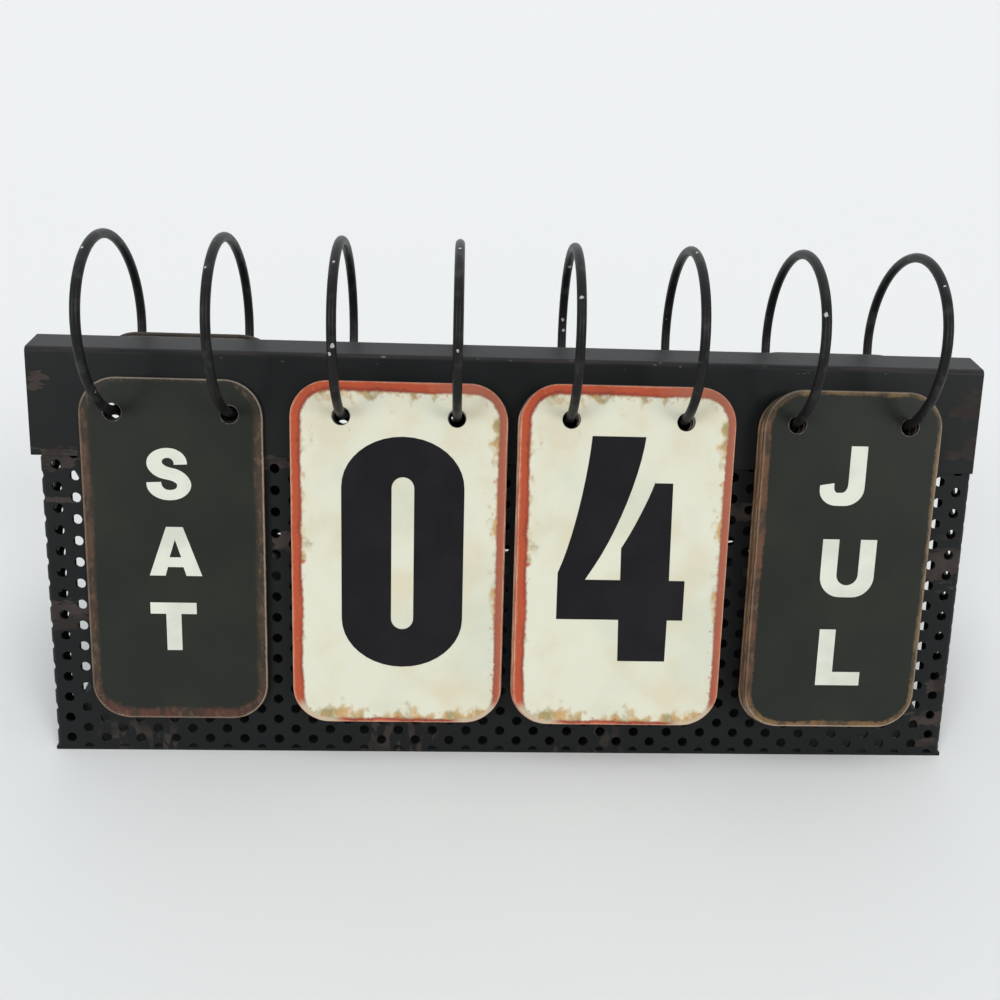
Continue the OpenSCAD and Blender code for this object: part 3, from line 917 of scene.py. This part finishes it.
LETTER_WHITE = srgb(233, 236, 222)
LETTER_WORN = srgb(212, 216, 202)
letter_white = ink("letter_white", LETTER_WHITE, LETTER_WORN, 0.7)
word_edge = bare_edge("word_edge", WORD_EDGE, WORD_EDGE_STAIN)
# Each group's print, the stroke widths, height and pitch of its letters, and the middle of its word
STYLES = {
    "day": (word_print("day_print", DAY_BORDER, 1.2), 0.30, 0.235, 17.5, 27.3, (-1.5, 0.7)),
    "month": (word_print("month_print", MONTH_BORDER, 0.5), 0.277, 0.24, 21.0, 33, (2.4, -1.5)),
}
for group, (face, stem, bar, height, pitch, middle) in STYLES.items():
    alphabet = letters(stem, bar)
    for node in [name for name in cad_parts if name.startswith(group + "_card_")]:
        word = node.split("_")[-1]
        hang_card(node, WORD_W, [face, word_edge, card_back])
        outlines = word_outlines(word.upper(), alphabet, height, pitch)
        hang_print(node, f"{group}_word_{word}", outlines, middle, letter_white)


# ---- The floor and the lights ----
# A pale table top that runs back into a white sweep, lit by a bright sky of soft boxes behind and above it.
# The room in front is dim, and two broad soft lamps, one at each side, light the cards.

# Half the width of the floor, in metres
FLOOR_HALF = 8
# The table top near the calendar is a touch darker, a painted shade, and paler further off
TABLE_NEAR_SHADED = srgb(228, 231, 230)
TABLE_CLOUD = srgb(232, 234, 233)
TABLE_FAR = srgb(231, 233, 233)
# How far along each axis the table's tone near the calendar, a painted shade, has given way to the sweep's
TABLE_REACH = (520, 620, 100)


def table_top():
    """Matt white board, clouded and a touch darker near the calendar: painted shade, paler further off."""
    finish = Finish("table_top")
    near = finish.place.speckle(60, 2).blend(TABLE_NEAR_SHADED, TABLE_CLOUD)
    away = finish.place.near((0, 0, 0), TABLE_REACH).step(0.25, 1.0)
    finish.set(Base_Color=away.blend(near, TABLE_FAR), Roughness=0.7, Specular_IOR_Level=0.2)
    return finish.material


floor_form = bmesh.new()
bmesh.ops.create_grid(floor_form, x_segments=1, y_segments=1, size=FLOOR_HALF)
floor_mesh = bpy.data.meshes.new("floor")
floor_form.to_mesh(floor_mesh)
floor_form.free()
floor_mesh.materials.append(table_top())
floor = bpy.data.objects.new("floor", floor_mesh)
bpy.context.scene.collection.objects.link(floor)

LAMP_SPREAD = math.radians(25)
LAMP_STRENGTH = 0.9
LAMP_BEAMS = {"left": (0.6, 0.62, -0.5), "right": (-0.6, 0.62, -0.5)}
for side, beam in LAMP_BEAMS.items():
    lamp = bpy.data.lights.new(side, "SUN")
    lamp.angle = LAMP_SPREAD
    lamp.energy = LAMP_STRENGTH
    lamp_stand = bpy.data.objects.new(side, lamp)
    lamp_stand.rotation_euler = Vector(beam).to_track_quat("-Z", "Y").to_euler()
    bpy.context.scene.collection.objects.link(lamp_stand)

# The brightest part of the sky is behind and above, and what the camera sees of it is one plain tone
BRIGHTEST = (0, 0.64, 0.77)
DIM_ROOM = 0.25
SKY = srgb(252, 253, 255)
SWEEP = srgb(238, 240, 240)
world = bpy.data.worlds.new("room")
bpy.context.scene.world = world
world.use_nodes = True
room = world.node_tree.nodes["Background"]
outward = Tone(world.node_tree.nodes.new("ShaderNodeTexCoord").outputs["Generated"])
upwards = outward.node("VectorMath", "Value", {0: outward, 1: BRIGHTEST}, operation="DOT_PRODUCT")
soft_boxes = upwards.step(0.15, 0.9) + DIM_ROOM
seen = Tone(world.node_tree.nodes.new("ShaderNodeLightPath").outputs["Is Camera Ray"])
seen.blend(SKY, SWEEP).feed(room.inputs["Color"])
(seen + soft_boxes * (1 - seen)).feed(room.inputs["Strength"])


# ---- The camera ----
# It stands close in front of the calendar, a little left of its middle, and looks down on it.
# Its angles are in radians, and its focal length is a share of the width of its sensor.

CAMERA_AT = (-16.87, -292.44, 262.84)
YAW, PITCH, ROLL = 0.0490, 0.57825, 0.0457
FOCAL_SHARE = 0.90646
SENSOR_W = 36
# How near it still sees, in metres
NEAREST = 0.01
camera = bpy.data.cameras.new("camera")
camera.sensor_width = SENSOR_W
camera.lens = FOCAL_SHARE * SENSOR_W
camera.clip_start = NEAREST
tripod = bpy.data.objects.new("camera", camera)
heading = Matrix.Rotation(-YAW, 4, "Z")
tilt = Matrix.Rotation(math.pi / 2 - PITCH, 4, "X")
lean = Matrix.Rotation(ROLL, 4, "Z")
tripod.matrix_world = Matrix.Translation(Vector(CAMERA_AT) * MM) @ heading @ tilt @ lean
bpy.context.scene.collection.objects.link(tripod)
bpy.context.scene.camera = tripod
bpy.context.scene.view_settings.view_transform = "Standard"
